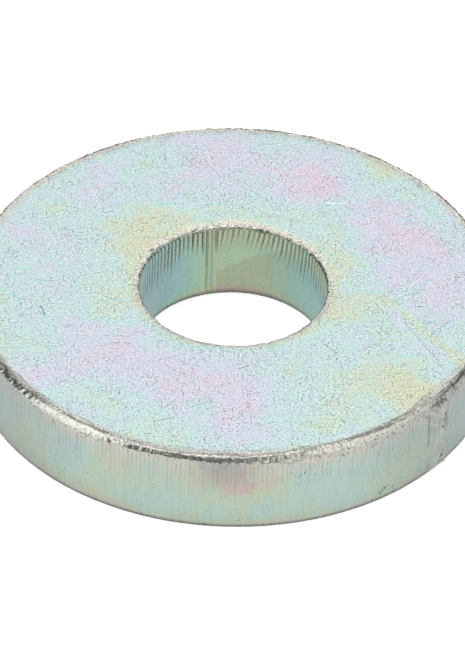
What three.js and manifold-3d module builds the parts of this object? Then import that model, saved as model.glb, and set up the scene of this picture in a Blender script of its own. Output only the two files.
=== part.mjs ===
// A thick flat washer, laser cut from 8 mm steel plate, tumbled to take the sharpness off its edges, and zinc plated.
// It is one piece of metal: a disc with a round hole for an M16 bolt.
//
// Millimetres, +Z up. The origin is on the bore axis, in the plane of the underside, so the washer stands on z = 0.
// The beam entered at the top face, so the top edges are rounded more than the ones underneath.

import * as THREE from "three";
import { mergeVertices } from "three/addons/utils/BufferGeometryUtils.js";
import Module from "manifold-3d";

// Driving dimensions
const BORE_DIAMETER = 17; // clearance hole for an M16 bolt
const OUTER_DIAMETER = 48;
const THICKNESS = 8;
const OUTER_TOP_EDGE = 0.6; // radius left by tumbling on each of the four edges
const BORE_TOP_EDGE = 0.45;
const OUTER_BOTTOM_EDGE = 0.2;
const BORE_BOTTOM_EDGE = 0.2;

// The beam leaves the outer cut at one spot, where a low bead of metal stands on the rim
const BEAD_ANGLE = -39.8; // degrees from +X to the middle of the bead
const BEAD_HEIGHT = 0.3; // above the rim
const BEAD_TOP = 1.2; // length of its flat top, along the rim
const BEAD_RISE = 1.1; // length of the gentle side, before the flat top
const BEAD_FALL = 0.6; // length of the steep side
const BEAD_ROOT = 0.8; // how far the bead reaches into the disc, so that the two join
const BEAD_BOTTOM_GAP = 0.25; // the bead stops this far above the underside
const BEAD_TOP_GAP = 0.7; // and this far below the top face
const BEAD_BEVEL = 0.2;

// The cut of the bore starts and ends at one spot, where a narrow groove runs from top to bottom
const GROOVE_ANGLE = 107; // degrees from +X
const GROOVE_RADIUS = 0.35;
const GROOVE_DEPTH = 0.14; // into the bore's wall

// How finely the round shapes are divided
const DISC_SIDES = 120;
const EDGE_STEPS = 2; // a path gives each round edge twice this many chords
const GROOVE_SIDES = 12;

const boreRadius = BORE_DIAMETER / 2;
const outerRadius = OUTER_DIAMETER / 2;

const wasm = await Module();
wasm.setup();

// A closed geometry as a manifold-3d solid.
function solidFrom(geometry) {
  const bare = geometry.clone();
  bare.deleteAttribute("normal");
  bare.deleteAttribute("uv");
  const merged = mergeVertices(bare);
  return new wasm.Manifold(
    new wasm.Mesh({
      numProp: 3,
      vertProperties: merged.attributes.position.array,
      triVerts: new Uint32Array(merged.index.array),
    }),
  );
}

// A manifold-3d solid as a geometry that three.js can show.
function geometryFrom(solid) {
  const { vertProperties, triVerts } = solid.getMesh();
  const indexed = new THREE.BufferGeometry();
  indexed.setAttribute("position", new THREE.BufferAttribute(vertProperties, 3));
  indexed.setIndex(new THREE.BufferAttribute(triVerts, 1));
  const geometry = indexed.toNonIndexed();
  geometry.computeVertexNormals();
  return geometry;
}

// The disc: half of its cross-section, with a round edge at each corner, turned about the bore axis.
function disc() {
  const quarter = Math.PI / 2;
  const section = new THREE.Path();
  section.moveTo(boreRadius + BORE_BOTTOM_EDGE, 0);
  section.lineTo(outerRadius - OUTER_BOTTOM_EDGE, 0);
  section.absarc(outerRadius - OUTER_BOTTOM_EDGE, OUTER_BOTTOM_EDGE, OUTER_BOTTOM_EDGE, -quarter, 0);
  section.absarc(outerRadius - OUTER_TOP_EDGE, THICKNESS - OUTER_TOP_EDGE, OUTER_TOP_EDGE, 0, quarter);
  section.absarc(boreRadius + BORE_TOP_EDGE, THICKNESS - BORE_TOP_EDGE, BORE_TOP_EDGE, quarter, 2 * quarter);
  section.absarc(boreRadius + BORE_BOTTOM_EDGE, BORE_BOTTOM_EDGE, BORE_BOTTOM_EDGE, 2 * quarter, 3 * quarter);
  return new THREE.LatheGeometry(section.getPoints(EDGE_STEPS), DISC_SIDES).rotateX(quarter);
}

// The bead on the rim. Its outline is drawn lying along +X, then turned to its place: x is outwards from the
// bore axis and y is along the rim, so the gentle side is at negative y.
function leadOutBead() {
  const root = outerRadius - BEAD_ROOT;
  const crest = outerRadius + BEAD_HEIGHT - BEAD_BEVEL;
  const flat = BEAD_TOP / 2;
  const start = -flat - BEAD_RISE;
  const end = flat + BEAD_FALL;
  const rimAt = (y) => Math.sqrt(outerRadius ** 2 - y ** 2) - BEAD_BEVEL;
  const outline = new THREE.Shape();
  outline.moveTo(root, start);
  outline.lineTo(rimAt(start), start);
  outline.quadraticCurveTo(crest, start + BEAD_RISE / 2, crest, -flat);
  outline.lineTo(crest, flat);
  outline.quadraticCurveTo(crest, flat + BEAD_FALL / 2, rimAt(end), end);
  outline.lineTo(root, end);
  outline.closePath();
  const bead = new THREE.ExtrudeGeometry(outline, {
    depth: THICKNESS - BEAD_BOTTOM_GAP - BEAD_TOP_GAP - 2 * BEAD_BEVEL,
    bevelThickness: BEAD_BEVEL,
    bevelSize: BEAD_BEVEL,
    bevelSegments: 2,
    curveSegments: 6,
  });
  return bead
    .translate(0, 0, BEAD_BOTTOM_GAP + BEAD_BEVEL)
    .rotateZ(THREE.MathUtils.degToRad(BEAD_ANGLE));
}

// The rod of metal that the start of the cut takes out of the bore's wall.
function leadInGroove() {
  const axisRadius = boreRadius + GROOVE_DEPTH - GROOVE_RADIUS;
  return new THREE.CylinderGeometry(GROOVE_RADIUS, GROOVE_RADIUS, 2 * THICKNESS, GROOVE_SIDES)
    .rotateX(Math.PI / 2)
    .translate(axisRadius, 0, THICKNESS / 2)
    .rotateZ(THREE.MathUtils.degToRad(GROOVE_ANGLE));
}

// Zinc plate with a clear passivation film, which gives it a pale tint of green and blue.
const zincPlate = new THREE.MeshStandardMaterial({
  name: "zinc_plate",
  color: 0xc6d3d0,
  roughness: 0.4,
  metalness: 1,
});

const solid = solidFrom(disc()).add(solidFrom(leadOutBead())).subtract(solidFrom(leadInGroove()));
const washer = new THREE.Mesh(geometryFrom(solid), zincPlate);
washer.name = "washer";

const part = new THREE.Group();
part.add(washer);

export default part;
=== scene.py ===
# %% [markdown]
# # A thick flat washer, laser cut, tumbled and zinc plated
#
# The real washer is one piece of steel plate. A laser cuts the bore and the rim, a tumbling barrel full of
# stones takes the sharpness off the edges, and a plating bath leaves a thin coat of zinc with a clear film
# on top. The film is so thin that light waves interfere in it, which gives the pale blue, green, pink and
# yellow patches.
#
# This lesson builds it in that order: the disc, the marks of the beam, the marks of the barrel, then the
# film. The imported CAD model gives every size. Lengths are in millimetres here and become metres when the
# mesh is made.

import math

import bpy
import numpy as np
from mathutils import Euler, Matrix, Vector


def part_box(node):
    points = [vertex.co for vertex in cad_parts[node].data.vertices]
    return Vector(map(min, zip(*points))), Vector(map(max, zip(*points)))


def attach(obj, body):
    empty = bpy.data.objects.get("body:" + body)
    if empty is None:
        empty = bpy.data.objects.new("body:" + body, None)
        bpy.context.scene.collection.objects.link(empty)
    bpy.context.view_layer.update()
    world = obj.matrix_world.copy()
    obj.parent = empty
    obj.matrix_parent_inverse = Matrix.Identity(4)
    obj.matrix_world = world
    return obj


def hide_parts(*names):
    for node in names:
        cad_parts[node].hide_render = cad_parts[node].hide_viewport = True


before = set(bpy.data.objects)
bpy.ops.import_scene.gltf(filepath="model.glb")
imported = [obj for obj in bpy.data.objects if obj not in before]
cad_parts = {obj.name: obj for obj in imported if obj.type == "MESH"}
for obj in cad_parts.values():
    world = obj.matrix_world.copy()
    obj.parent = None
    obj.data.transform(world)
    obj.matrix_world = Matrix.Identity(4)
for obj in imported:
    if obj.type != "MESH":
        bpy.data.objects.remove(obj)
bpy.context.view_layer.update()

MM = 0.001  # metres in a millimetre

# %% [markdown]
# ## Sizes
#
# The box of the CAD washer gives the outer radius and the thickness. The bore isn't part of a box, so it is
# read from the mesh: the bore's wall holds the points that are nearest to the axis.

# %% Read the washer's sizes from the frame
low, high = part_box("washer")
OUTER_RADIUS = (high[0] - low[0]) / 2 / MM
THICKNESS = (high[2] - low[2]) / MM

cad_points = np.array([point.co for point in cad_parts["washer"].data.vertices])
BORE_RADIUS = float(np.hypot(cad_points[:, 0], cad_points[:, 1]).min()) / MM
print(f"bore {2 * BORE_RADIUS:.2f} mm, outside {2 * OUTER_RADIUS:.2f} mm, thickness {THICKNESS:.2f} mm")

# %% [markdown]
# ## The camera
#
# A long lens stands well back and looks down at about 40 degrees, so the circles look like true ellipses
# with hardly any perspective. The camera is also turned a little about its own line of sight, which lowers
# the washer's right side. Blender's camera looks along its own -Z, so the matrix has right, up and backward
# columns.

# %% Place the camera
LENS = 230.1  # focal length in millimetres
SENSOR = 36.0  # its width in millimetres
CAMERA_PLACE = Vector((0.0, -290.1, 242.8)) * MM
LOOK_DOWN = math.radians(39.52)
CAMERA_TURN = math.radians(1.3)


def add_object(name, data):
    """Puts a camera, a mesh or a light into the scene."""
    made = bpy.data.objects.new(name, data)
    bpy.context.scene.collection.objects.link(made)
    return made


def make_camera():
    data = bpy.data.cameras.new("camera")
    data.lens = LENS
    data.sensor_width = SENSOR
    data.clip_start = 0.01
    camera = add_object("camera", data)
    forward = Vector((0.0, math.cos(LOOK_DOWN), -math.sin(LOOK_DOWN)))
    level_right = Vector((1.0, 0.0, 0.0))
    level_up = level_right.cross(forward)
    right = level_right * math.cos(CAMERA_TURN) + level_up * math.sin(CAMERA_TURN)
    up = level_up * math.cos(CAMERA_TURN) - level_right * math.sin(CAMERA_TURN)
    turned = Matrix((right, up, -forward)).transposed().to_4x4()
    camera.matrix_world = Matrix.Translation(CAMERA_PLACE) @ turned
    bpy.context.scene.camera = camera
    return camera


camera = make_camera()
print("camera is", round(camera.location.length / MM), "mm from the washer")

# %% [markdown]
# ## Random marks that close on themselves
#
# Everything on the washer runs round in a ring, so a random mark must meet itself after a full turn.
# `ring_noise` draws random values at even steps round the ring and joins them smoothly. `lumps` does the
# same in space: it fills a cube with random values, repeats the cube, and reads it at any point, so it
# never has a seam on a ring. The cube is tilted, or its lumps would line up with the faces. Both use a seed
# of their own, so the washer comes out the same each time.

# %% Helpers for smooth steps and noise


def smooth_step(start, end, value):
    """0 before start, 1 past end, and a smooth S between. start may be the larger one."""
    t = np.clip((value - start) / (end - start), 0.0, 1.0)
    return t * t * (3.0 - 2.0 * t)


def bell(distance, half_width):
    """A bell shape: 1 where distance is 0, and nearly 0 where it is twice half_width."""
    return np.exp(-((distance / half_width) ** 2))


def ring_noise(angle, steps, seed):
    """Smooth random values from -1 to 1 round the ring, with a new one every 1/steps of a turn."""
    values = np.random.default_rng(seed).uniform(-1.0, 1.0, steps)
    place = (angle / (2.0 * math.pi)) % 1.0 * steps
    before = np.floor(place).astype(int)
    blend = smooth_step(0.0, 1.0, place - before)
    return values[before % steps] * (1.0 - blend) + values[(before + 1) % steps] * blend


LUMP_CUBE = 32  # random values along each side of the cube
LUMP_TILT = np.array(Euler((0.6, 0.45, 0.3)).to_matrix())


def lumps(points, size, seed):
    """Smooth random values from -1 to 1 in space. size is the width of a lump in millimetres."""
    cube = np.random.default_rng(seed).uniform(-1.0, 1.0, (LUMP_CUBE,) * 3)
    place = points @ LUMP_TILT / size
    before = np.floor(place).astype(int)
    blend = smooth_step(0.0, 1.0, place - before)
    total = np.zeros(points.shape[:-1])
    for corner in np.ndindex(2, 2, 2):
        weight = np.prod(np.where(corner, blend, 1.0 - blend), axis=-1)
        x, y, z = np.moveaxis((before + corner) % LUMP_CUBE, -1, 0)
        total += weight * cube[x, y, z]
    return total


# %% [markdown]
# ## The section
#
# A washer's surface is one closed strip, so the mesh is a list of rings: out over the top face, down the
# rim, back under the disc and up the bore. Each ring has a radius and a height for every angle, and it also
# keeps the direction that points out of the metal, because the marks are pushed in and out along it.
#
# The rim and the bore carry fine vertical lines, so they need many points round the ring. The flat faces
# need few. A ring with few points is joined to one with many by polygons that have extra corners.

# %% Rings and the strip that they make
FACE_POINTS = 480  # points in a ring on the flat faces
RIM_POINTS = 3 * FACE_POINTS
BORE_POINTS = 2 * FACE_POINTS


class Strip:
    """Rings of one part of the surface. Each array has a row for each ring and a column for each angle."""

    def __init__(self, name, points, radius, height, out, up):
        shape = np.broadcast_shapes(np.shape(radius), np.shape(height), (1, points))
        self.name = name
        self.angle = np.broadcast_to(ring_angles(points), shape).copy()
        self.radius = np.broadcast_to(radius, shape).copy()
        self.height = np.broadcast_to(height, shape).copy()
        size = np.hypot(out, up)
        self.out = np.broadcast_to(out / size, shape)
        self.up = np.broadcast_to(up / size, shape)
        self.worn = np.zeros(shape)
        self.dirt = np.zeros(shape)
        self.polished = np.zeros(shape)

    def points(self):
        return np.stack(
            [self.radius * np.cos(self.angle), self.radius * np.sin(self.angle), self.height], axis=-1
        )

    def push(self, distance):
        """Moves the surface out of the metal by distance, or into it where distance is negative."""
        self.radius += distance * self.out
        self.height += distance * self.up


def ring_angles(points):
    return np.arange(points) / points * 2.0 * math.pi - math.pi


def along(strip, angle):
    """Distance along the ring from the line at this angle, in millimetres, positive towards larger angles."""
    turned = (strip.angle - angle + math.pi) % (2.0 * math.pi) - math.pi
    return turned * strip.radius.mean()


# %% [markdown]
# ## Round edges
#
# Stones in the barrel hit the edges hardest. They leave a rounding that is wider on the side where the beam
# came in, and never quite even. A quarter of an ellipse gives the shape, and its width and height wander
# round the ring. In some places they wore it nearly flat, like a chamfer, and `flat` says how much.

# %% Widths of the four rounded edges
TOP_EDGE = (  # degrees from +X; then how wide and how tall the rounding is against the usual, and how flat
    (-150, 1, 0.9, 0.1),
    (-139, 1, 1.2, 0.3),
    (-132, 1, 2.2, 0.4),
    (-120, 1, 2.2, 0.4),
    (-113, 0.9, 1.3, 0.2),
    (-104, 0.9, 1.2, 0.1),
    (-84, 0.9, 1.3, 0.1),
    (-76, 0.9, 1.5, 0.4),
    (-62, 1, 1.9, 0.4),
    (-44, 1.1, 1.8, 0.4),
    (-33, 1, 1.1, 0.2),
    (20, 1.1, 0.8, 0.1),
    (90, 1.2, 0.6, 0),
    (160, 1.1, 0.8, 0.1),
)
BORE_EDGE = ((-90.0, 0.55), (-20.0, 0.8), (90.0, 1.0), (200.0, 0.8))  # degrees from +X, and how wide


def wander(points, middle, spread, seed):
    """A width round the ring: slow changes, and quicker ones half as large."""
    angle = ring_angles(points)
    return middle + spread * (ring_noise(angle, 14, seed) + 0.5 * ring_noise(angle, 90, seed + 1))


def by_angle(angle, stops, number=1):
    """A value that changes round the ring. Each stop begins with degrees from +X; number picks its value."""
    degrees = [stop[0] for stop in stops]
    values = [stop[number] for stop in stops]
    return np.interp(np.degrees(angle), degrees, values, period=360.0)


class Edge:
    """How far a rounding reaches along the face and down the wall, and how flat it is, at each angle."""

    def __init__(self, points, across, down, spread, seed):
        self.across = wander(points, across, spread * across, seed)
        self.down = wander(points, down, spread * down, seed + 7)
        self.flat = np.zeros(points)

    def thinned(self, points):
        """The reach along the face at fewer angles, for the ring where the face begins."""
        return self.across[:: len(self.across) // points]


rim_angles = ring_angles(RIM_POINTS)
outer_top = Edge(RIM_POINTS, across=0.75, down=0.55, spread=0.14, seed=11)
outer_top.across *= by_angle(rim_angles, TOP_EDGE, 1)
outer_top.down *= by_angle(rim_angles, TOP_EDGE, 2)
outer_top.flat = by_angle(rim_angles, TOP_EDGE, 3)
outer_bottom = Edge(RIM_POINTS, across=0.24, down=0.22, spread=0.15, seed=31)
bore_top = Edge(BORE_POINTS, across=0.5, down=0.24, spread=0.18, seed=51)
bore_top.across *= by_angle(ring_angles(BORE_POINTS), BORE_EDGE)
bore_bottom = Edge(BORE_POINTS, across=0.22, down=0.22, spread=0.15, seed=71)
print(f"top edge rounding {outer_top.across.min():.2f} to {outer_top.across.max():.2f} mm wide")

# %% [markdown]
# ## The eight strips
#
# Rings cost polygons, so they stand close together only where the surface bends or where the marks are
# deep: near the edges, and in the upper part of both walls.

# %% Make the eight strips of the section
WALL_RECESS = 0.05  # the wall lies this far inside the lip that tumbling pushes out at its top
FACE_RINGS = (0.01, 0.06, 0.25, 0.5, 0.75, 0.94, 0.99)  # places of the rings, from 0 to 1 across the face
RIM_RINGS = np.linspace(0.0, 1.0, 28)[1:-1] ** 1.35  # from 0 at the top of the rim to 1 at its foot
BORE_RINGS = 1.0 - np.linspace(1.0, 0.0, 24)[1:-1] ** 1.3  # from 0 at the foot of the bore to 1 at its top


def column(values):
    return np.asarray(values)[:, None]


def face_strip(name, height, up, inner, outer, rings):
    """A flat face. inner and outer are its radii at each angle, and rings go from the first to the second."""
    share = column(rings)
    return Strip(name, FACE_POINTS, inner + (outer - inner) * share, height, 0.0, up)


def edge_strip(name, edge, wall_radius, out, face_height, up, steps, from_face):
    """A rounding between a face and a wall, in steps that start at the face, or at the wall."""
    share = column(np.linspace(0.0, 1.0, steps + 1))
    share = share if from_face else share[::-1]
    turn = share * math.pi / 2.0
    round_radius, round_height = np.sin(turn), 1.0 - np.cos(turn)
    radius_share = round_radius + (share - round_radius) * edge.flat
    height_share = round_height + (share - round_height) * edge.flat
    radius = wall_radius - out * edge.across * (1.0 - radius_share)
    height = face_height - up * edge.down * height_share
    outwards = out * np.sin(turn) / edge.across
    upwards = up * np.cos(turn) / edge.down
    return Strip(name, len(edge.across), radius, height, outwards, upwards)


def wall_strip(name, points, radius, out, start, end, rings):
    """A vertical wall between two heights, which may differ at each angle."""
    share = column(rings)
    return Strip(name, points, radius, start + (end - start) * share, out, 0.0)


RIM_RADIUS = OUTER_RADIUS - WALL_RECESS
inner_flat = BORE_RADIUS + bore_top.thinned(FACE_POINTS)
outer_flat = OUTER_RADIUS - outer_top.thinned(FACE_POINTS)
top_face = face_strip("top_face", THICKNESS, 1.0, inner_flat, outer_flat, FACE_RINGS)
top_outer_edge = edge_strip("top_outer_edge", outer_top, RIM_RADIUS, 1.0, THICKNESS, 1.0, 9, True)
rim = wall_strip("rim", RIM_POINTS, RIM_RADIUS, 1.0, THICKNESS - outer_top.down, outer_bottom.down, RIM_RINGS)
bottom_outer_edge = edge_strip("bottom_outer_edge", outer_bottom, RIM_RADIUS, 1.0, 0.0, -1.0, 4, False)
under_outer = OUTER_RADIUS - outer_bottom.thinned(FACE_POINTS)
under_inner = BORE_RADIUS + bore_bottom.thinned(FACE_POINTS)
underside = face_strip("underside", 0.0, -1.0, under_outer, under_inner, FACE_RINGS)
bottom_bore_edge = edge_strip("bottom_bore_edge", bore_bottom, BORE_RADIUS, -1.0, 0.0, -1.0, 4, True)
bore_end = THICKNESS - bore_top.down
bore = wall_strip("bore", BORE_POINTS, BORE_RADIUS, -1.0, bore_bottom.down, bore_end, BORE_RINGS)
top_bore_edge = edge_strip("top_bore_edge", bore_top, BORE_RADIUS, -1.0, THICKNESS, 1.0, 7, False)

section = [top_face, top_outer_edge, rim, bottom_outer_edge, underside, bottom_bore_edge, bore, top_bore_edge]
for strip in section:
    print(f"{strip.name}: {strip.radius.shape[0]} rings of {strip.radius.shape[1]} points")

# %% [markdown]
# ## The marks of the beam
#
# A laser melts steel in pulses, and each pulse leaves a narrow groove from the top of the cut downwards.
# Lower down the melt lags behind the beam, so the grooves lean and then fade. Every groove has its own
# depth and length, so they are drawn one by one: `grooves` works out which groove is nearest to each point
# of the wall. The ridge between two grooves stands out a little, and the stones in the barrel rub it
# bright.

# %% Cut the vertical grooves
DRIFT = 0.35  # how far a groove stands from its even place, as a share of the distance between two
LAG = 1.5  # the melt lags behind the beam by this power of the depth
RIDGE = 0.25  # height of the ridge between two grooves, as a share of their depth


def grooves(strip, count, half_width, depth, begin, length, lean, dark, bright, seed):
    """Cuts count grooves round a wall. half_width is a share of the distance between two. The depth, the
    length, and how far below the top face they begin are in millimetres."""
    random = np.random.default_rng(seed)
    below_top = np.maximum(THICKNESS - strip.height, 0.0)
    drift = DRIFT * ring_noise(strip.angle, count // 6, seed + 1) + lean * below_top**LAG
    place = (strip.angle / (2.0 * math.pi) + 0.5) * count + drift
    nearest = np.round(place).astype(int)
    off_centre = np.abs(place - nearest)
    strength = random.uniform(0.4, 1.0, count)[nearest % count]
    own_length = random.uniform(0.6, 1.2, count)[nearest % count] * length
    fade = strength * smooth_step(1.15, 0.35, below_top / own_length)
    fade *= smooth_step(begin, 1.6 * begin, below_top)
    groove = bell(off_centre, half_width)
    ridge = smooth_step(0.22, 0.42, off_centre)
    strip.push(depth * fade * (RIDGE * ridge - groove))
    strip.dirt += dark * fade * groove
    strip.worn += bright * fade * ridge


# %% [markdown]
# On the rim the grooves are fine and shallow. In the bore they are coarser, and deeper and longer at its
# two sides. Where the cut of the bore begins, only the marks of the next step are left.

# %% Grooves of the rim and of the bore
RIM_GROOVES = 370  # about 0.4 mm apart
BORE_GROOVES = 113  # about 0.47 mm apart
BORE_LEAN = ((0.0, -0.05), (45.0, -0.1), (75.0, -0.24), (92.0, -0.2), (108.0, -0.04), (180.0, -0.03))
BORE_START = math.radians(105.0)  # where the cut of the bore begins
START_REACH = 0.9  # how far from there the grooves are weak


def rim_grooves(strip):
    begin = 0.6 * outer_top.down
    grooves(strip, RIM_GROOVES, 0.2, 0.035, begin, length=4.2, lean=0.02, dark=0.3, bright=0.4, seed=101)


def bore_grooves(strip):
    at_sides = np.abs(np.cos(strip.angle))  # 1 at the bore's left and right sides, 0 at its back and front
    at_left = np.maximum(-np.cos(strip.angle), 0.0)
    length = 2.3 + 2.4 * at_sides
    lean = by_angle(strip.angle, BORE_LEAN)
    away_from_start = 1.0 - 0.9 * bell(along(strip, BORE_START), START_REACH)
    depth = (0.07 + 0.06 * at_sides + 0.05 * at_left) * away_from_start
    dark = (0.9 + 0.3 * at_sides + 0.4 * at_left) * away_from_start
    grooves(strip, BORE_GROOVES, 0.12, depth, 0.26, length, lean, dark, bright=1.2, seed=131)


for strip in (top_outer_edge, rim):
    rim_grooves(strip)
for strip in (top_bore_edge, bore):
    bore_grooves(strip)
print("cut", RIM_GROOVES + BORE_GROOVES, "grooves")

# %% [markdown]
# ## Where the beam came in and went out
#
# The outer cut ends where it began, and the last drop of melt freezes there as a low rough bead with a flat
# top, one gentle side, one sharp side and a few pits. In the bore the same thing leaves a deep groove, with
# a small step next to it.

# %% Single grooves on both walls, and the bead on the rim
BEAD_ANGLE = math.radians(-39.8)
BEAD_HEIGHT = 0.3
BEAD_HALF_TOP = 0.65  # half the length of its flat top, along the rim
BEAD_RISE = 1.2  # length of its gentle side
BEAD_FALL = 0.45  # length of its sharp side
BEAD_ROUGHNESS = 0.09
LINE_CUTS = (  # wall, degrees from +X, depth, half width, height of the top and of the foot, sway, how dark
    (rim, -43.2, 0.06, 0.08, 7.1, 3.4, 0.06, 0.5),
    # The dark line at -36.6 degrees is a painted shadow beside the bead's sharp side.
    (rim, -36.6, 0.1, 0.13, 7.2, 3.8, 0.2, 0.4),
    (bore, 107.0, 0.14, 0.08, THICKNESS, 0.6, 0.03, 0.2),
    (bore, 110.0, 0.08, 0.1, THICKNESS, 5.2, 0.12, 0.4),
    (bore, 104.0, 0.05, 0.12, THICKNESS, 0.6, 0.05, 0.3),
    (bore, 101.2, 0.1, 0.1, THICKNESS, 5.2, 0.05, 0.3),
)
STEP_ANGLE = math.radians(100.5)  # the step in the bore goes from here towards larger angles
STEP_DEPTH = 0.03


def line_cut(strip, degrees, depth, half_width, top, foot, sway, dark):
    """Cuts one groove that sways to and fro, between two heights."""
    offset = along(strip, math.radians(degrees)) + sway * lumps(strip.points() * (0.0, 0.0, 1.0), 1.4, 7)
    ends = smooth_step(foot - 0.4, foot + 0.4, strip.height) * smooth_step(top + 0.3, top - 0.3, strip.height)
    shape = bell(offset, half_width) * ends
    strip.push(-depth * shape)
    strip.dirt += dark * shape


def bead(strip):
    """Raises the bead. Its surface is lumpy, and the grooves don't darken it."""
    offset = along(strip, BEAD_ANGLE) + 0.14 * lumps(strip.points(), 0.9, 17)
    rise = smooth_step(-BEAD_HALF_TOP - BEAD_RISE, -BEAD_HALF_TOP, offset)
    fall = smooth_step(BEAD_HALF_TOP + BEAD_FALL, BEAD_HALF_TOP, offset)
    ends = smooth_step(0.05, 0.3, strip.height) * smooth_step(THICKNESS - 0.3, THICKNESS - 0.9, strip.height)
    shape = rise * fall * ends
    rough = 0.8 * lumps(strip.points(), 0.6, 18) + 0.7 * lumps(strip.points(), 0.3, 19)
    strip.push(shape * (BEAD_HEIGHT + BEAD_ROUGHNESS * rough))
    strip.dirt *= 1.0 - shape
    strip.worn = np.maximum(strip.worn * (1.0 - shape), 0.55 * smooth_step(0.3, 0.9, shape))
    # The bead's hollows are painted dark: dirt and painted shade.
    strip.dirt += shape * 0.45 * smooth_step(0.0, -0.9, rough)
    # Painted shadow: a dark line along the bead's sharp side.
    sharp_side = bell(offset - BEAD_HALF_TOP - 0.2, 0.22) * ends
    strip.dirt += 0.8 * sharp_side * smooth_step(-0.1, 0.5, lumps(strip.points(), 0.5, 20))


for strip in (top_outer_edge, rim):
    bead(strip)
for wall, *measures in LINE_CUTS:
    line_cut(wall, *measures)
beside_step = along(bore, STEP_ANGLE)
bore.push(-STEP_DEPTH * smooth_step(0.0, 0.12, beside_step) * smooth_step(2.2, 0.6, beside_step))
print("cut", len(LINE_CUTS), "single grooves")

# %% [markdown]
# ## Pits
#
# Here and there the melt boiled and left a pit. The large ones stand on the bead and at the foot of the
# rim. Each is a small hollow with a ragged outline, and the finish makes it dark, because little light gets
# in. Smaller pits than these are only drawn by the finish.

# %% Pits in the rim
RIM_PITS = (  # degrees from +X, height, width, how tall, depth
    (-38.6, 5.4, 0.24, 0.36, 0.2),
    (-38.5, 6.1, 0.16, 0.26, 0.12),
    (-39, 4.7, 0.14, 0.24, 0.1),
    (-39.2, 1.4, 0.16, 0.24, 0.1),
    (-56.1, 0.8, 0.2, 0.2, 0.12),
    (-55.5, 0.95, 0.24, 0.2, 0.14),
    (-54.9, 1.15, 0.22, 0.2, 0.14),
    (-54.3, 1.35, 0.16, 0.14, 0.1),
    (-53, 1, 0.14, 0.12, 0.08),
)


def pit(strip, degrees, height, width, tall, depth):
    """A hollow at one place on a wall, with a ragged outline."""
    ragged = 1.0 + 0.35 * lumps(strip.points(), 0.3, 23)
    across = along(strip, math.radians(degrees)) / width
    upward = (strip.height - height) / tall
    shape = np.exp(-((across**2 + upward**2) * ragged) ** 1.5)
    strip.push(-depth * shape)


for measures in RIM_PITS:
    pit(rim, *measures)
print("made", len(RIM_PITS), "pits")

# %% [markdown]
# ## The marks of the barrel
#
# Tumbling hammers the edges, so the metal there is full of small flats and dents. The top edge is smoother
# at the left of the front, where it shines as one broad streak, and rougher everywhere else. The finish
# needs to know where the stones worked, so each strip keeps three values: `worn` says how far the film is
# rubbed off, the next how dark the hollows, creases and bottom edges are painted, with dirt and painted
# shade, and the last how bright the bare metal is, partly as a painted highlight.

# %% Hammer the top outer edge
DENT_DEPTH = 0.07
HAMMERING = (  # degrees from +X; then dent depth in the top edge against the usual, and darkness: dirt and painted shade
    (-150, 0.8, 0.3),
    (-138, 0.8, 0.3),
    (-133, 0.2, 0),
    (-119, 0.2, 0),
    (-115, 0.7, 0.1),
    (-110, 0.3, 0),
    (-104, 0.4, 0.1),
    (-84, 0.8, 0.1),
    (-76, 1.3, 0.5),
    (-44, 1.2, 0.3),
    (-37, 0.8, 0.3),
    (-30, 0.8, 0.3),
    (20, 0.9, 0.3),
    (90, 1, 0.2),
)


def from_first(strip):
    """0 at the strip's first ring and 1 at its last."""
    return column(np.linspace(0.0, 1.0, len(strip.angle)))


def hammer(strip, depth, rubbed, hollow_darkening=0.6):
    """Dents of three sizes, mostly into the metal. rubbed, from 0 to 1, may differ at each point."""
    points = strip.points()
    dents = 0.2 * lumps(points, 0.7, 41) + 0.45 * lumps(points, 0.36, 42) + 0.85 * lumps(points, 0.22, 43)
    strip.push(depth * rubbed * (dents - 0.6))
    strip.worn = np.maximum(strip.worn, rubbed)
    # The deepest dents are painted dark: dirt and painted shade.
    strip.dirt += hollow_darkening * rubbed * smooth_step(-0.35, -0.9, dents)


dent_depth = DENT_DEPTH * by_angle(top_outer_edge.angle, HAMMERING, 1)
dent_darkening = by_angle(top_outer_edge.angle, HAMMERING, 2)
at_back = smooth_step(-0.1, 0.3, np.sin(top_outer_edge.angle))
away_from_face = np.maximum(smooth_step(0.2, 0.5, from_first(top_outer_edge)), at_back)
hammer(top_outer_edge, dent_depth * (0.2 + 0.8 * away_from_face), 1.0, dent_darkening * away_from_face)
print(f"dents in the top edge are up to {dent_depth.max():.2f} mm deep")

# %% [markdown]
# ## The folded burr
#
# The beam leaves a thin burr, and the stones fold it flat against the edge. Under the fold a crease is left,
# which runs along the edge, wanders and breaks off; it is painted dark with dirt and painted shade. Next to
# it the stones polish the crest of the edge, and the crest is painted brighter, partly as a painted
# highlight.

# %% Crease and polish the top outer edge
CREASE_DEPTH = 0.05
CREASES = (  # degrees from +X; where it runs, from 0 at the face to 1 at the rim; how deep; half its width
    (-150, 0.3, 1, 0.09),
    (-135, 0.12, 0.3, 0.07),
    (-119, 0.12, 0.3, 0.07),
    (-110, 0.6, 0.5, 0.09),
    (-88, 0.6, 0.4, 0.09),
    (-78, 0.1, 0.6, 0.07),
    (-58, 0.16, 0.6, 0.08),
    (-50, 0.22, 0.9, 0.08),
    (-42, 0.3, 0.9, 0.08),
    (-34, 0.35, 1, 0.09),
    (10, 0.5, 1, 0.16),
    (90, 0.5, 1, 0.16),
    (165, 0.5, 1, 0.16),
)
POLISH_AND_HIGHLIGHT = (  # degrees from +X; then how far the top edge is polished and painted brighter, partly as a highlight, and where that begins
    (-142, 0, -0.25),
    (-134, 0.8, -0.25),
    (-118, 0.8, -0.25),
    (-108, 0, -0.25),
    (-100, 0, 0.2),
    (-80, 0.3, 0.2),
    (-72, 1, 0.15),
    (-56, 1, 0.18),
    (-48, 1, 0),
    (-42, 0.9, 0),
    (-36, 0.2, 0),
    (180, 0, 0),
)
EDGE_DENTS = ((-36.6, 0.25, 0.05), (-33.5, 0.5, 0.05))  # degrees from +X, reach along the edge, depth


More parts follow.
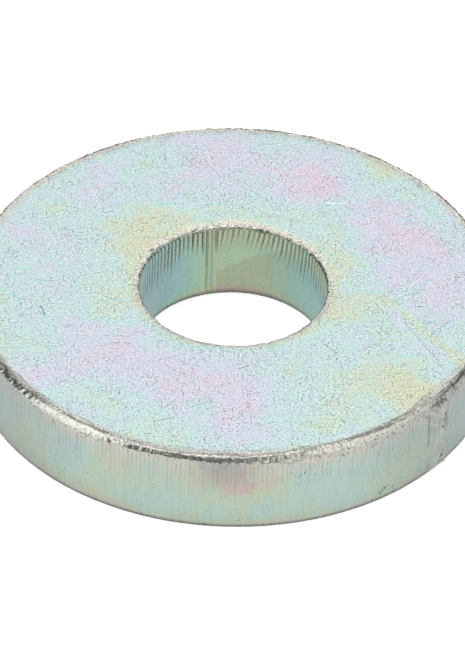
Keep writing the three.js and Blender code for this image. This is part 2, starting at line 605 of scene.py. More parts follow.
def crease(strip, seed):
    """The folded burr along the top outer edge."""
    middle, strength, half_width = (by_angle(strip.angle, CREASES, number) for number in (1, 2, 3))
    middle = middle + 0.1 * ring_noise(strip.angle, 50, seed) + 0.05 * ring_noise(strip.angle, 220, seed + 1)
    broken = smooth_step(-0.6, 0.2, ring_noise(strip.angle, 24, seed + 2))
    shape = strength * broken * bell(from_first(strip) - middle, half_width)
    strip.push(-CREASE_DEPTH * shape)
    # The crease is painted dark: dirt and painted shade under the fold.
    strip.dirt += 0.8 * shape


def polish_and_brighten_crest(strip):
    """The crest of the edge, a little way from the face, polished and painted brighter, partly as a
    highlight.
    """
    amount, begin = (by_angle(strip.angle, POLISH_AND_HIGHLIGHT, number) for number in (1, 2))
    past_begin = from_first(strip) - begin
    strip.polished = amount * smooth_step(-0.02, 0.08, past_begin) * smooth_step(0.7, 0.3, past_begin)


def edge_dent(strip, degrees, reach, depth):
    """A deep dent in an edge, where the end of the cut left it weak."""
    strip.push(-depth * bell(along(strip, math.radians(degrees)), reach))


crease(top_outer_edge, seed=331)
polish_and_brighten_crest(top_outer_edge)
for measures in EDGE_DENTS:
    edge_dent(top_outer_edge, *measures)
print("made", len(EDGE_DENTS), "deep dents in the edge")

# %% [markdown]
# ## The other edges, the walls and the faces
#
# The dents reach a little way down the rim, with a ragged lower limit. The other three edges were in the
# shelter of the stones, so their dents are shallower. The faces and the walls only get shallow waves.

# %% Hammer everything else
EDGE_HAMMERING = (  # edge, depth of the dents, how far the film is rubbed off, how dark: dirt and painted shade
    (bottom_outer_edge, 0.02, 0.7, 0.6),
    (top_bore_edge, 0.065, 1.0, 0.15),
    (bottom_bore_edge, 0.02, 0.6, 0.6),
)
FACE_WAVES = 0.006  # depth, in millimetres
WALL_WAVES = 0.012


def hammer_rim():
    below_edge = THICKNESS - outer_top.down - rim.height
    ragged = 0.35 + 0.3 * ring_noise(rim.angle, 160, 301) + 0.2 * ring_noise(rim.angle, 420, 302)
    near_edge = smooth_step(np.maximum(ragged, 0.1), 0.0, below_edge)
    hammer(rim, DENT_DEPTH * by_angle(rim.angle, HAMMERING, 1), near_edge, by_angle(rim.angle, HAMMERING, 2))


hammer_rim()
for edge, depth, rubbed, hollow_darkening in EDGE_HAMMERING:
    hammer(edge, depth, rubbed, hollow_darkening)
for face in (top_face, underside):
    face.push(FACE_WAVES * (lumps(face.points(), 2.5, 61) - 1.0))
for wall in (rim, bore):
    wall.push(WALL_WAVES * (lumps(wall.points(), 1.7, 62) - 1.0))
    wall.worn = np.maximum(wall.worn, 0.5 * smooth_step(0.9, 0.25, wall.height))
# Painted shade: the two bottom edges are painted dark where they meet the table.
for edge in (bottom_outer_edge, bottom_bore_edge):
    edge.dirt += 0.7
print("hammered", 2 + len(EDGE_HAMMERING), "strips")

# %% [markdown]
# ## Keep to the size
#
# Some dents are bumps. The stones would have worn those down to the level of the face and the rim, and the
# washer must not grow, so everything outside its box is pressed back. Only the bead may stand out from the
# rim.

# %% Press bumps back into the washer's size
for strip in section:
    strip.height = np.clip(strip.height, 0.0, THICKNESS)
    on_bead = smooth_step(3.0, 2.0, np.abs(along(strip, BEAD_ANGLE)))
    strip.radius = np.minimum(strip.radius, OUTER_RADIUS + BEAD_HEIGHT * on_bead)
print(f"largest radius {max(strip.radius.max() for strip in section):.2f} mm")

# %% [markdown]
# ## The mesh
#
# The rings now become one closed mesh. Two neighbouring rings are joined by a band of polygons, and the
# last ring is joined to the first, so the surface closes on itself. The three values of each strip, wear,
# dirt with painted shade, and polish with a painted highlight, go along as attributes of the points.

# %% Join the rings into one closed mesh
MARKS = ("worn", "dirt", "polished")  # what each strip says about its surface


def join_rings(first, first_size, second, second_size):
    """Polygons between two rings, given by the number of their first point and their size."""
    few = min(first_size, second_size)
    first_step = first_size // few
    second_step = second_size // few
    polygons = []
    for place in range(few):
        near = [first + (place * first_step + k) % first_size for k in range(first_step + 1)]
        far = [second + (place * second_step + k) % second_size for k in range(second_step + 1)]
        polygons.append([near[0], *far, *near[:0:-1]])
    return polygons


def build_mesh(name, strips):
    rings = [row for strip in strips for row in strip.points()]
    starts = np.cumsum([0] + [len(ring) for ring in rings])
    polygons = []
    for number, ring in enumerate(rings):
        following = (number + 1) % len(rings)
        polygons += join_rings(int(starts[number]), len(ring), int(starts[following]), len(rings[following]))
    mesh = bpy.data.meshes.new(name)
    mesh.from_pydata((np.concatenate(rings) * MM).tolist(), [], polygons)
    for mark in MARKS:
        values = np.concatenate([getattr(strip, mark).ravel() for strip in strips])
        mesh.attributes.new(mark, "FLOAT", "POINT").data.foreach_set("value", np.clip(values, 0.0, 1.0))
    mesh.polygons.foreach_set("use_smooth", np.ones(len(mesh.polygons), dtype=bool))
    mesh.validate()
    return mesh


washer_mesh = build_mesh("washer_body", section)
washer_body = add_object("washer_body", washer_mesh)
triangles = sum(len(polygon.vertices) - 2 for polygon in washer_mesh.polygons)
print("washer_body has", triangles, "triangles")

# %% [markdown]
# ## Shader maths as sentences
#
# A finish is a graph of nodes, but a formula is easier to read. `Wire` stands for one output of a node.
# Adding or multiplying two wires adds the Math node that does it, so `1 - mask` works as written. Every
# other node comes from `node`, which takes the kind of node, its settings, and what goes into its sockets.

# %% A class for wires between shader nodes


class Wire:
    def __init__(self, tree, socket=None):
        self.tree = tree
        self.socket = socket

    def node(self, kind, settings=None, inputs=None, output=0):
        """Adds a node and returns one of its outputs. settings are set first, then the sockets in inputs."""
        made = self.tree.nodes.new(kind)
        for name, value in (settings or {}).items():
            if name == "stops":
                set_stops(made.color_ramp, value)
            else:
                setattr(made, name, value)
        for name, value in (inputs or {}).items():
            if isinstance(value, Wire):
                self.tree.links.new(value.socket, made.inputs[name])
            else:
                made.inputs[name].default_value = value
        return Wire(self.tree, made.outputs[output])

    def other(self, output):
        """Another output of the same node."""
        return Wire(self.tree, self.socket.node.outputs[output])

    def math(self, operation, *others):
        return self.node("ShaderNodeMath", {"operation": operation}, dict(enumerate((self, *others))))

    def math_after(self, operation, first):
        """The same for a number that stands before the wire."""
        return self.node("ShaderNodeMath", {"operation": operation}, {0: first, 1: self})

    def vector(self, operation, *others, output=0):
        values = dict(enumerate((self, *others)))
        return self.node("ShaderNodeVectorMath", {"operation": operation}, values, output)

    def __add__(self, other):
        return self.math("ADD", other)

    def __radd__(self, other):
        return self.math_after("ADD", other)

    def __sub__(self, other):
        return self.math("SUBTRACT", other)

    def __rsub__(self, other):
        return self.math_after("SUBTRACT", other)

    def __mul__(self, other):
        return self.math("MULTIPLY", other)

    def __rmul__(self, other):
        return self.math_after("MULTIPLY", other)

    def __truediv__(self, other):
        return self.math("DIVIDE", other)

    def __pow__(self, other):
        return self.math("POWER", other)

    def __abs__(self):
        return self.math("ABSOLUTE")

    def dot(self, other):
        return self.vector("DOT_PRODUCT", other, output="Value")

    def distance(self, point):
        return self.vector("DISTANCE", point, output="Value")

    def parts(self):
        """The X, Y and Z of a vector."""
        x = self.node("ShaderNodeSeparateXYZ", {}, {0: self})
        return x, x.other("Y"), x.other("Z")

    def step(self, start, end):
        """0 before start, 1 past end, and a smooth S between."""
        settings = {"interpolation_type": "SMOOTHSTEP"}
        return self.node("ShaderNodeMapRange", settings, {"Value": self, "From Min": start, "From Max": end})

    def noise(self, size, detail=2.0, output=0):
        """Smooth random values round 0.5, at this place in millimetres."""
        inputs = {"Vector": self, "Scale": 1.0 / size, "Detail": detail}
        return self.node("ShaderNodeTexNoise", {}, inputs, output)

    def uneven(self, size, amount, detail=2.0):
        """Smooth random values round 0. amount is how far apart the smallest and the largest could lie."""
        return (self.noise(size, detail) - 0.5) * amount

    def cells(self, size, output):
        """Voronoi cells that are about this many millimetres wide."""
        return self.node("ShaderNodeTexVoronoi", {}, {"Vector": self, "Scale": 1.0 / size}, output)

    def ramp(self, stops):
        """The colour that a ramp has at this value."""
        return self.node("ShaderNodeValToRGB", {"stops": stops}, {0: self}, "Color")

    def mix(self, first, second):
        """A colour between two, by this wire as the share of the second."""
        return self.node("ShaderNodeMix", {"data_type": "RGBA"}, {"Factor": self, 6: first, 7: second}, 2)

    def lay(self, colour, below):
        """This much of a colour over the one below. Anything past 1 counts as 1."""
        return self.math("MINIMUM", 1.0).mix(below, colour)


def set_stops(ramp, stops):
    ramp.elements[0].position = stops[0][0]
    ramp.elements[1].position = stops[-1][0]
    for place, _ in stops[1:-1]:
        ramp.elements.new(place)
    for element, (_, colour) in zip(ramp.elements, stops, strict=True):
        element.color = colour


def shade(red, green, blue):
    """A colour given as it looks on a screen, from 0 to 255, as the linear values that shaders use."""
    linear = [((value / 255.0 + 0.055) / 1.055) ** 2.4 for value in (red, green, blue)]
    return (*linear, 1.0)


# %% [markdown]
# ## Places on the washer
#
# Object coordinates are in metres, so every finish first turns them into millimetres. On the walls the
# useful directions are along the wall and upwards, and on the faces they are X and Y. `start_finish` makes
# the material and returns its wire of places, and `end_finish` connects the results to the metal shader.

# %% Start and end a finish


def start_finish(name):
    material = bpy.data.materials.new(name)
    material.use_nodes = True
    place = Wire(material.node_tree).node("ShaderNodeTexCoord", {}, {}, "Object")
    return material, place.vector("MULTIPLY", (1000.0, 1000.0, 1000.0))


def end_finish(material, colour, roughness, height):
    """Connects a finish to its shader. height is the relief in millimetres."""
    shader = material.node_tree.nodes["Principled BSDF"]
    shader.inputs["Metallic"].default_value = 1.0
    relief = height.node("ShaderNodeBump", {}, {"Strength": 1.0, "Distance": MM, "Height": height})
    for name, wire in (("Base Color", colour), ("Roughness", roughness), ("Normal", relief)):
        material.node_tree.links.new(wire.socket, shader.inputs[name])


def marks(place):
    """The three marks that the mesh carries, as wires."""
    return [place.node("ShaderNodeAttribute", {"attribute_name": mark}, {}, "Fac") for mark in MARKS]


# %% [markdown]
# ## Scratches
#
# Each stone leaves a short stroke in its own direction. A Voronoi texture cuts the surface into cells, and
# each cell gives the place of its middle and a random colour. The colour picks a direction for one stroke
# through that middle. Several layers with cells of different sizes lie over each other, as the real
# scratches do.

# %% A layer of strokes


def strokes(place, across, up, cell, length, width):
    """1 in the middle of each stroke and 0 beside it. across and up are the directions in the surface."""
    middle = place.cells(cell, "Position")
    turn, bend, strength = middle.other("Color").parts()
    turn = turn * (2.0 * math.pi)
    offset = place.vector("SUBTRACT", middle)
    x, y = offset.dot(across), offset.dot(up)
    cosine, sine = turn.math("COSINE"), turn.math("SINE")
    lengthwise = x * cosine + y * sine
    sideways = y * cosine - x * sine + (bend - 0.5) * lengthwise * lengthwise * (0.8 / length)
    inside = abs(sideways).step(width, 0.0)
    ends = abs(lengthwise).step(length / 2.0, length / 4.0)
    return inside * ends * strength


# %% [markdown]
# ## The film
#
# The film's colour depends only on how thick it is. From thick to thin it goes through pink, yellow, green,
# blue and lavender to pink again, so one number for thickness and one colour ramp make all the patches. On
# the flat faces the bright plating washes the colours out, and on the duller cut walls they are deeper.

# %% Colour ramps for the film
THINNEST_FILM = 0.2  # on the flat faces
FACE_FILM = (
    (0, shade(214, 204, 180)),
    (0.2, shade(210, 213, 182)),
    (0.36, shade(203, 219, 199)),
    (0.5, shade(194, 222, 220)),
    (0.64, shade(205, 214, 227)),
    (0.8, shade(216, 207, 224)),
    (1, shade(226, 201, 214)),
)
WALL_FILM = (
    (0, shade(180, 148, 149)),
    (0.14, shade(180, 170, 150)),
    (0.28, shade(172, 184, 152)),
    (0.42, shade(160, 190, 166)),
    (0.56, shade(150, 190, 183)),
    (0.75, shade(152, 178, 190)),
    (1, shade(170, 172, 186)),
)
RUBBED_ZINC = shade(191, 188, 179)
# Bare zinc on the polished crest, partly a painted highlight, and in the rubbed band at the back.
BRIGHT_ZINC = shade(222, 219, 206)
# The colour of dirt and of painted shade in hollows, creases, pits and bottom edges.
DIRT_AND_SHADE_ZINC = shade(74, 74, 70)
# Dark marks and dull metal, and the colour of painted shade and painted dark reflections.
DULL_AND_SHADE_ZINC = shade(112, 118, 120)
BROWN_LINE = shade(138, 132, 124)
# Bright scratches and painted glints on the flat faces.
BRIGHT_MARK_AND_GLINT = shade(250, 252, 250)


def patch(place, middle, reach, amount):
    """A round patch of thicker or thinner film round a point in space."""
    return place.distance(middle).step(reach, 0.0) * amount


def stirred(place, size, amount):
    """The same place, moved up to about half of amount by a noise, so that outlines become ragged."""
    shift = place.noise(size, 2.0, "Color").vector("SUBTRACT", (0.5, 0.5, 0.5))
    return place.vector("ADD", shift.vector("MULTIPLY", (amount, amount, amount)))


# %% [markdown]
# ## Finish of the flat faces
#
# Where the washer hung or lay against others in the bath, the film grew unevenly, so the patches are placed
# one by one and a soft noise breaks their outlines up. Small marks show zinc with less film, and the strokes
# are shallow relief. Many marks are also painted darker or brighter, as painted dark reflections and painted
# glints.

# %% Film of the top face and the underside
TOP_PATCHES = (  # x, y, reach, thicker or thinner
    (7, 15.8, 7, 0.3),
    (6.5, 15.4, 5, 0.12),
    (13, 9, 6, 0.18),
    (16.5, 6.6, 7, 0.26),
    (16.5, 6.8, 3, 0.06),
    (19, -1, 8, 0.24),
    (-2, -14.8, 8, 0.22),
    (1.5, -16, 4, 0.14),
    (-11.5, -9, 8, 0.24),
    (-6, -12.5, 5, 0.14),
    (-17, -12.5, 5, 0.14),
    (-19.3, 7, 3.5, 0.2),
    (-13.5, 13.5, 6, 0.14),
    (-2, 18.5, 8, 0.24),
    (-7.8, 6.8, 6.5, -0.32),
    (-17, 3, 7, 0.08),
    (1, -19.5, 5, 0.12),
    (-10, -2.5, 5, -0.2),
    (0, 9.5, 4.5, -0.14),
    (16.2, -13.8, 5, -0.32),
    (12, -14, 6, -0.1),
    (14, 18.6, 3.5, -0.3),
    (10.2, -3, 4, -0.2),
    (-9.8, 3.8, 4, -0.14),
    (9.6, 3, 3, -0.14),
    (14, 1.5, 3.5, 0.14),
    (20.2, -10.4, 2, -0.16),
    (18.4, -12.6, 2.5, 0.2),
    (-11.9, 18.6, 3.5, 0.18),
    (-7.4, 14.1, 3.5, 0.18),
    (-7.2, 20.9, 2.5, 0.12),
)
TOP_BANDS = (  # start and end as x and y, half width, thicker or thinner
    ((14, -1.8), (20.9, -11.2), 0.65, -0.17),
    ((13.6, -2.6), (18.8, -10.8), 0.6, 0.1),
)
TOP_SCRATCHES = (  # start and end as x and y, half width, and how bright, or how dark if below zero
    ((8.3, 12.2), (10.3, 12.3), 0.1, 0.8),
    ((7.2, 7.9), (8.9, 7.9), 0.08, 0.7),
    ((14.9, -3.9), (18.2, -10), 0.1, -0.25),
    ((14.5, -3.9), (17.6, -9.6), 0.12, 0.2),
    ((17.7, -6.5), (19.5, -4.6), 0.06, -0.6),
    ((-7.9, 4.5), (-7.3, 4.9), 0.12, -0.8),
    ((-17.3, -3.6), (-16.7, -5.3), 0.08, -0.7),
    ((-18.3, -7.6), (-11.4, -7.3), 0.07, 0.25),
)
UNDER_PATCHES = (  # the same for the underside
    (-9, 13, 7, 0.3),
    (13, 9, 6, -0.28),
    (-15, -7, 7, 0.22),
    (6, -14, 7, 0.3),
    (1, 11, 5, -0.2),
    (16, -8, 6, -0.24),
)


def band(place, start, end, half_width):
    """1 along a straight line on a flat face, and 0 away from it."""
    (x0, y0), (x1, y1) = start, end
    length = math.hypot(x1 - x0, y1 - y0)
    direction = ((x1 - x0) / length, (y1 - y0) / length, 0.0)
    sideways_direction = (-direction[1], direction[0], 0.0)
    offset = place.vector("SUBTRACT", ((x0 + x1) / 2.0, (y0 + y1) / 2.0, 0.0))
    lengthwise, sideways = offset.dot(direction), offset.dot(sideways_direction)
    inside = abs(sideways).step(half_width, half_width * 0.3)
    return inside * abs(lengthwise).step(length * 0.55, length * 0.35)


def face_film(place, height_of_face, patches, bands):
    """How thick the film is at each place of a flat face."""
    thickness = 0.5 + (place.uneven(6.0, 0.35) + place.uneven(2.2, 0.4)) + place.uneven(0.45, 0.25)
    patch_place = stirred(stirred(place, 6.0, 5.0), 1.6, 1.6)
    for x, y, reach, amount in patches:
        thickness = thickness + patch(patch_place, (x, y, height_of_face), reach, amount)
    for start, end, half_width, amount in bands:
        thickness = thickness + band(stirred(place, 0.8, 0.4), start, end, half_width) * amount
    return thickness.math("MAXIMUM", THINNEST_FILM)


# %% [markdown]
# The marks of the stones come in four sizes, and in some places they are closer together than in others. Each
# kind is painted darker or brighter, partly as painted dark reflections and painted glints, and adds to the
# relief.

# %% Marks of the stones on a flat face
FLAT = {"across": (1.0, 0.0, 0.0), "up": (0.0, 1.0, 0.0)}  # the two directions in a flat face


def face_marks(place, grain, scratches):
    """How dark and how bright the marks are painted, partly as painted dark reflections and glints, and how
    high they are in millimetres.
    """
    bent = stirred(place, 1.0, 0.2)
    short = strokes(place, cell=0.34, length=0.42, width=0.06, **FLAT)
    middling = strokes(bent, cell=0.8, length=1.0, width=0.06, **FLAT)
    long = strokes(bent, cell=3.0, length=3.0, width=0.06, **FLAT)
    glints = strokes(bent, cell=0.5, length=0.35, width=0.07, **FLAT)
    busy = 0.4 + place.noise(2.5).step(0.35, 0.65)
    dull_and_shade = short * busy * 0.55 + middling * busy * 0.65 + long * 0.65 + grain.step(0.55, 0.72) * 0.7
    bright = glints * busy * 0.75 + grain.step(0.45, 0.28) * 0.65
    for start, end, half_width, strength in scratches:
        line = band(stirred(place, 0.4, 0.15), start, end, half_width)
        if strength > 0.0:
            bright = bright + line * strength
        else:
            dull_and_shade = dull_and_shade - line * strength
    height = (grain - 0.5) * 0.012 - short * 0.008 - middling * 0.01 - long * 0.01 + glints * 0.006
    return dull_and_shade, bright, height


# %% [markdown]
# Next to the rim and the bore, where the face begins to bend, the stones rubbed the film away. At the rim
# they also left brown rings, and the rubbed band is wider in two places.

# %% Finish of a flat face
RIM_BAND = (1.24, 1.0)  # distances from the rim where the rubbed band begins and where it is complete
BORE_BAND = (1.5, 0.4)  # the same distances from the bore
WIDER_BAND = ((19.2, -14.4, 5.5, 0.45), (0.5, -23.5, 7.0, 0.25))  # x, y, reach, and how much wider it is


def rim_band(from_axis, place, height_of_face, at_back):
    """1 in the rubbed band at the rim."""
    wider = at_back * 0.05
    for x, y, reach, amount in WIDER_BAND:
        wider = wider + patch(place, (x, y, height_of_face), reach, amount)
    return (from_axis + wider).step(OUTER_RADIUS - RIM_BAND[0], OUTER_RADIUS - RIM_BAND[1])


def ring_scratches(place, from_axis):
    """Noise that changes quickly away from the axis and slowly along the ring."""
    squeezed = place.vector("MULTIPLY", (0.35, 0.35, 0.0))
    return squeezed.vector("ADD", place.node("ShaderNodeCombineXYZ", {}, {"Z": from_axis * 5.0})).noise(1.0)


def crinkles(place, rubbed):
    """Fine darker creases where the metal is rubbed."""
    return rubbed * place.noise(0.24, 3.0).step(0.52, 0.66) * 0.5


def face_finish(name, height_of_face, patches, bands=(), scratches=()):
    material, place = start_finish(name)
    worn, dirt, polished = marks(place)
    grain = place.noise(0.17)
    dull_and_shade, bright, height = face_marks(place, grain, scratches)

    from_axis = place.vector("MULTIPLY", (1.0, 1.0, 0.0)).vector("LENGTH", output="Value")
    at_back = place.parts()[1].step(-8.0, 5.0)
    near_rim = rim_band(from_axis, place, height_of_face, at_back)
    near_bore = from_axis.step(BORE_RADIUS + BORE_BAND[0], BORE_RADIUS + BORE_BAND[1])
    rubbed = (worn + near_rim * 0.6 + near_bore * 0.4 + place.uneven(0.25, 1.0, 3.0)).step(0.25, 1.0)
    rings = ring_scratches(place, from_axis)

    thickness = face_film(place, height_of_face, patches, bands) - near_bore * 0.16
    # The polished crest is paler, partly as a painted highlight, and so is the rubbed band at the back.
    shine = at_back.math("MAXIMUM", polished)
    colour = rubbed.mix(thickness.ramp(FACE_FILM), shine.mix(RUBBED_ZINC, BRIGHT_ZINC))
    colour = (rings.step(0.5, 0.64) * near_rim * (0.75 - at_back * 0.6)).mix(colour, BROWN_LINE)
    # Darker marks and creases, partly painted dark reflections.
    colour = (dull_and_shade + crinkles(place, rubbed)).lay(DULL_AND_SHADE_ZINC, colour)
    # Painted glints and bright scratches.
    colour = bright.lay(BRIGHT_MARK_AND_GLINT, colour)
    # Dirt and painted shade in the hollows, creases and bottom edges.
    colour = (dirt * 0.8).mix(colour, DIRT_AND_SHADE_ZINC)

    roughness = 0.3 + (grain - 0.5) * 0.2 - rubbed * 0.06
    height = height + (rings - 0.5) * near_rim * 0.025 + place.uneven(0.22, 0.03) * rubbed
    end_finish(material, colour, roughness, height)
    return material


top_finish = face_finish("plated_top_face", THICKNESS, TOP_PATCHES, TOP_BANDS, TOP_SCRATCHES)
under_finish = face_finish("plated_underside", 0.0, UNDER_PATCHES)
print("top finish has", len(top_finish.node_tree.nodes), "nodes")

# %% [markdown]
# ## Finish of the cut walls
#
# A cut wall is duller and more deeply coloured, with fine lines that run down it. Noise that is stretched
# upwards makes the lines: its place is squeezed in Z, so it changes slowly with height and quickly along
# the wall, and it needs no seam. One round spot of thick film stands on the front of the rim, where a drop
# hung.

# %% Where the film and the pits of the rim are
RIM_DROP = (-88.5, 6.0)  # where the drop hung: degrees from +X, and height
DROP_MIDDLE = (-84.6, 6.1)  # where it dried last
RIM_PATCHES = (  # degrees from +X, height, reach, thicker or thinner
    (-150, 5, 7, 0.22),
    (-138, 3, 4, -0.08),
    (-127, 4.2, 5, 0.2),
    (-120, 1.4, 3.5, -0.14),
    (-112, 5.5, 4, -0.1),
    (-103, 2, 5, 0.08),
    (-70, 4, 5, 0.14),
    (-72, 6.2, 3.5, 0.16),
    (-58, 5.8, 5, 0.16),
    (-47, 4, 3, -0.1),
    (-29, 4, 5, 0.28),
    (20, 4, 9, -0.16),
    (75, 5, 9, 0.26),
    (130, 4, 9, -0.12),
)
# Painted shade darkens the top of the rim above the drop; the second patch darkens it beside the bead.
RIM_DARKENING = ((-91.0, 7.4, 4.2, 0.36), (-54.0, 5.5, 6.0, 0.14))  # degrees from +X, height, reach, how dull
RIM_SPECKLED = (  # degrees from +X, height and reach of a place full of small pits
    (-74.5, 5.7, 1.6),
    (-70.5, 5.5, 1.6),
    (-86.3, 6.1, 1),
)


def on_rim(degrees, height):
    """A point on the rim, or on top of the bead where the bead is."""
    angle = math.radians(degrees)
    from_bead = abs(angle - BEAD_ANGLE) * OUTER_RADIUS
    on_top = float(smooth_step(BEAD_HALF_TOP + BEAD_FALL, BEAD_HALF_TOP, from_bead))
    radius = OUTER_RADIUS + BEAD_HEIGHT * on_top
    return (radius * math.cos(angle), radius * math.sin(angle), height)


def small_pits(place, cell, reach):
    """Small round spots here and there, each darker or paler than the next. reach is a share of the cell."""
    nearest = place.cells(cell, "Distance")
    return nearest.step(reach, reach * 0.4) * nearest.other("Color").parts()[0]


def dark_pit(place, degrees, height, width, tall, depth):
    """The darkness in one of the pits of the rim."""
    reach = 0.6 * (width + tall)
    from_middle = stirred(place, 0.3, 0.3).distance(on_rim(degrees, height))
    return from_middle.step(reach, 0.5 * reach) * min(1.0, 10.0 * depth)


def dark_spots(place, pits, speckled):
    """Pits: a few everywhere, the ones cut into the mesh, and places that are full of small ones."""
    ticks = stirred(place, 0.3, 0.2).vector("MULTIPLY", (1.0, 1.0, 0.6))
    dark = small_pits(place, 0.8, 0.12) * 0.6 + small_pits(place, 1.7, 0.08) * 0.7
    for degrees, height, reach in speckled:
        dark = dark + patch(place, on_rim(degrees, height), reach, 0.8) * small_pits(ticks, 0.22, 0.45)
    for measures in pits:
        dark = dark + dark_pit(place, *measures)
    return dark


# %% [markdown]
# Every wall has the same lines, strokes and grain, and the same painted shade just above the table. The rim
# and the bore differ in how thick the film is, how pale and how dull the metal looks, where painted shade
# darkens it, and where the pits are, so those go into `wall_finish` as wires and lists.

# %% Finish of a wall
UPWARD = (0.0, 0.0, 1.0)


def wall_finish(name, places, pits=(), speckled=()):
    """places is a function that turns the wire of places into thickness of film, paleness, and dullness with
    painted shade.
    """
    material, place = start_finish(name)
    worn, dirt, polished = marks(place)
    film, paleness, dullness_and_shade = places(place)
    lines = place.vector("MULTIPLY", (1.0, 1.0, 0.06)).noise(0.13)
    broad_lines = place.vector("MULTIPLY", (1.0, 1.0, 0.05)).noise(0.6)
    grain = place.noise(0.2, 3.0)
    around = place.vector("CROSS_PRODUCT", UPWARD).vector("NORMALIZE")
    short = strokes(place, around, UPWARD, cell=0.9, length=0.6, width=0.06)
    dark = dark_spots(place, pits, speckled)

    thickness = film + (lines - 0.5) * 0.09 + (broad_lines - 0.5) * 0.12 + (grain - 0.5) * 0.16
    rubbed = (worn + (grain - 0.5) * 1.4).step(0.25, 1.0)
    pale = short * 0.3 + rubbed + paleness
    # On the polished crest the zinc is paler, partly as a painted highlight.
    colour = pale.lay(polished.mix(RUBBED_ZINC, BRIGHT_ZINC), thickness.ramp(WALL_FILM))
    # Painted shade: both walls are painted darker just above the table.
    foot = place.parts()[2].step(0.45, 0.15) * 0.5
    dull_and_shade = dullness_and_shade + foot + grain.step(0.58, 0.74) * 0.3 + lines.step(0.5, 0.7) * 0.14
    # Darker marks and creases, and the painted shade of the rim, the bore and the foot.
    colour = (dull_and_shade + crinkles(place, rubbed)).lay(DULL_AND_SHADE_ZINC, colour)
    # Pits and hollows painted dark: dirt and painted shade where little light gets in.
    dark = dark + dirt * 0.9
    colour = dark.lay(DIRT_AND_SHADE_ZINC, colour)

    roughness = 0.36 + (grain - 0.5) * 0.2 - rubbed * 0.14
    height = (lines - 0.5) * 0.011 + (grain - 0.5) * 0.014 - short * 0.008 - dark * 0.01
    height = height + place.uneven(0.22, 0.012) * rubbed
    end_finish(material, colour, roughness, height)
    return material


# %% [markdown]
# ## The rim's finish
#
# The drop left a ring: thin film all round, and a thick spot where the last of it dried. The rim is paler
# towards the top, where the stones reached it. Painted shade darkens it near the top above the drop, at the
# foot, and towards its left and right ends, and it is also darker beside the bead.

# %% Finish of the rim


def drop(place):
    """How much the drop on the rim made the film thicker or thinner."""
    ragged = stirred(place, 1.0, 1.2)
    from_drop = ragged.distance(on_rim(*RIM_DROP))
    from_middle = ragged.distance(on_rim(*DROP_MIDDLE))
    thin = from_drop.step(4.2, 3.2) * -0.12 + from_drop.step(2.8, 1.9) * -0.28
    return thin + from_middle.step(1.1, 0.6) * 0.4


def rim_places(place):
    x, _, z = place.parts()
    film = 0.44 + place.uneven(3.5, 0.6, 3.0) + z.step(1.8, 0.2) * -0.18 + z.step(5.8, 7.6) * -0.14
    film = film + drop(place)
    for degrees, height, reach, amount in RIM_PATCHES:
        film = film + patch(place, on_rim(degrees, height), reach, amount)
    paleness = 0.38 + z.step(4.6, 7.4) * 0.38
    # Painted shade: darker towards the rim's left and right ends and at its foot.
    dullness_and_shade = 0.17 + (abs(x) / OUTER_RADIUS).step(0.45, 0.95) * 0.4 + z.step(2.2, 0.2) * 0.08
    for degrees, height, reach, amount in RIM_DARKENING:
        dullness_and_shade = dullness_and_shade + patch(place, on_rim(degrees, height), reach, amount)
    return film, paleness, dullness_and_shade


rim_finish = wall_finish("plated_rim", rim_places, RIM_PITS, RIM_SPECKLED)
print("rim finish has", len(rim_finish.node_tree.nodes), "nodes")

# %% [markdown]
# ## The bore's finish
#
# In the bore the film is thicker at the two sides, and painted shade darkens the sides, most in their lower
# part. A painted reflection of the bore's opposite edge covers the lower part of its back: below a slanting
# upper edge the wall is browner and darker.

# %% Finish of the bore


def bore_slanted_reflection(place):
    """1 in a painted reflection of the bore's opposite edge, at its back, which has a slanting upper edge."""
    x, y, z = place.parts()
    under_slant = (z - x * 0.59).step(3.75, 3.3)
    return under_slant * x.step(-1.65, -1.5) * x.step(7.0, 3.0) * y.step(0.0, 3.0)


def bore_film(place, slanted_reflection):
    """Thicker at the two sides, and thinner at the foot, at the top, beside the groove and in the painted
    reflection.
    """
    x, y, z = place.parts()
    sides = (abs(x) / BORE_RADIUS).step(0.15, 0.85) * 0.22 + x.step(-3.0, -7.0) * 0.1
    ends = z.step(1.5, 0.3) * -0.2 + z.step(5.0, 7.5) * -0.1 + x.step(1.5, 6.0) * z.step(4.0, 7.0) * -0.12
    beside_groove = abs(x + 1.7).step(0.5, 0.1) * y.step(0.0, 3.0) * -0.06
    return 0.36 + sides + ends + beside_groove - slanted_reflection * 0.08


def bore_places(place):
    x, _, z = place.parts()
    slanted_reflection = bore_slanted_reflection(place)
    # Painted shade darkens the two sides, most in their lower part, and the painted reflection is darker too.
    in_shade = (abs(x) / BORE_RADIUS).step(0.2, 0.9) * z.step(8.5, 4.0)
    return bore_film(place, slanted_reflection), 0.0, 0.05 + in_shade * 0.24 + slanted_reflection * 0.2


bore_finish = wall_finish("plated_bore", bore_places)
print("bore finish has", len(bore_finish.node_tree.nodes), "nodes")

# %% [markdown]
# ## Give each strip its finish
#
# The boundary between two finishes lies in the middle of a rounding. Both finishes show the same rubbed
# zinc there, so no line can be seen.

# %% Finishes by height and by radius
BELOW_TOP = 0.12  # the top finish reaches this far below the top face
ABOVE_FOOT = 0.05  # and the finish of the underside reaches this far up


def finish_of(centre):
    """Which finish a polygon gets, from where its middle is."""
    radius = math.hypot(centre.x, centre.y) / MM
    height = centre.z / MM
    if THICKNESS - height < BELOW_TOP:
        return 0
    if height < ABOVE_FOOT:
        return 1
    return 2 if radius > (OUTER_RADIUS + BORE_RADIUS) / 2.0 else 3


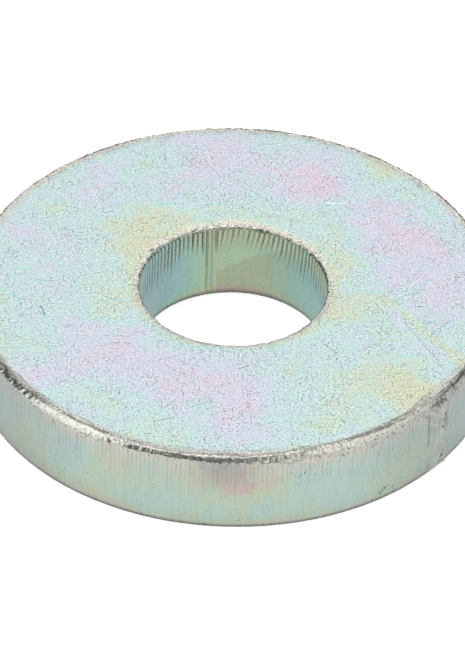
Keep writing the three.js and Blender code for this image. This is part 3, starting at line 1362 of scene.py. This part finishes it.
for finish in (top_finish, under_finish, rim_finish, bore_finish):
    washer_mesh.materials.append(finish)
slots = [finish_of(polygon.center) for polygon in washer_mesh.polygons]
washer_mesh.polygons.foreach_set("material_index", slots)
print("polygons per finish:", [slots.count(number) for number in range(4)])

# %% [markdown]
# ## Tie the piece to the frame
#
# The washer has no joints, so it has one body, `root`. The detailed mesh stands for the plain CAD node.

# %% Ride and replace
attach(washer_body, "root")
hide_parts("washer")

# %% [markdown]
# ## The studio
#
# The washer lies on a white table that glows a little from inside, as a light table does, so there is
# hardly any shadow.

# %% The table
TABLE_HALF = 1.5
TABLE_GLOW = 0.6
TABLE_GREY = (0.8, 0.8, 0.8, 1.0)
WHITE = (1.0, 1.0, 1.0, 1.0)


def make_table():
    mesh = bpy.data.meshes.new("table")
    corners = [(x * TABLE_HALF, y * TABLE_HALF, 0.0) for x, y in ((-1, -1), (1, -1), (1, 1), (-1, 1))]
    mesh.from_pydata(corners, [], [(0, 1, 2, 3)])
    table = add_object("table", mesh)
    material = bpy.data.materials.new("table_white")
    material.use_nodes = True
    shader = material.node_tree.nodes["Principled BSDF"]
    shader.inputs["Base Color"].default_value = TABLE_GREY
    shader.inputs["Roughness"].default_value = 0.9
    shader.inputs["Emission Color"].default_value = WHITE
    shader.inputs["Emission Strength"].default_value = TABLE_GLOW
    mesh.materials.append(material)
    return table


table = make_table()
print("table is", 2 * TABLE_HALF, "m wide")

# %% [markdown]
# Metal shows what is around it: a large soft box behind the table fills the top face with light. Boxes to
# the left and right of the camera draw bright lines along the edges, a weak one in front softens the gap
# between them, and the dim room draws dark lines next to those. Without something dark to reflect, polished
# metal looks like plastic.

# %% Soft boxes and room
BOX_DISTANCE = 0.6
SOFT_BOXES = (  # name, degrees from +X, elevation in degrees, width, height, brightness
    ("back_soft_box", 90, 35, 0.9, 0.74, 0.83),
    ("left_soft_box", -157, 25, 0.4, 0.5, 2.15),
    ("right_soft_box", -22, 23, 1.1, 0.46, 1.15),
    ("front_soft_box", -88, 22, 0.35, 0.45, 0.36),
    ("top_soft_box", -90, 70, 0.6, 0.3, 1.4),
)
ROOM = ((0.0, 0.13), (0.5, 0.16), (0.75, 0.36), (0.87, 0.7), (1.0, 0.8))  # how high up, and how bright


def soft_box(name, azimuth, elevation, width, height, brightness):
    """An area light that faces the washer. brightness is what its reflection shows."""
    data = bpy.data.lights.new(name, "AREA")
    data.shape = "RECTANGLE"
    data.size = width
    data.size_y = height
    data.energy = brightness * math.pi * width * height
    light = add_object(name, data)
    azimuth, elevation = math.radians(azimuth), math.radians(elevation)
    level = math.cos(elevation)
    toward = Vector((level * math.cos(azimuth), level * math.sin(azimuth), math.sin(elevation)))
    light.location = toward * BOX_DISTANCE
    light.rotation_euler = toward.to_track_quat("Z", "Y").to_euler()


def make_room(stops):
    """The room as seen in the metal: its brightness depends on the height above the table."""
    world = bpy.data.worlds.new("room")
    bpy.context.scene.world = world
    world.use_nodes = True
    background = world.node_tree.nodes["Background"]
    direction = Wire(world.node_tree).node("ShaderNodeTexCoord", {}, {}, "Generated")
    colour = direction.parts()[2].ramp(stops)
    world.node_tree.links.new(colour.socket, background.inputs["Color"])


for measures in SOFT_BOXES:
    soft_box(*measures)
make_room([(height, (value, value, value, 1.0)) for height, value in ROOM])
bpy.context.scene.view_settings.view_transform = "Standard"
print("lit by", len(SOFT_BOXES), "soft boxes")
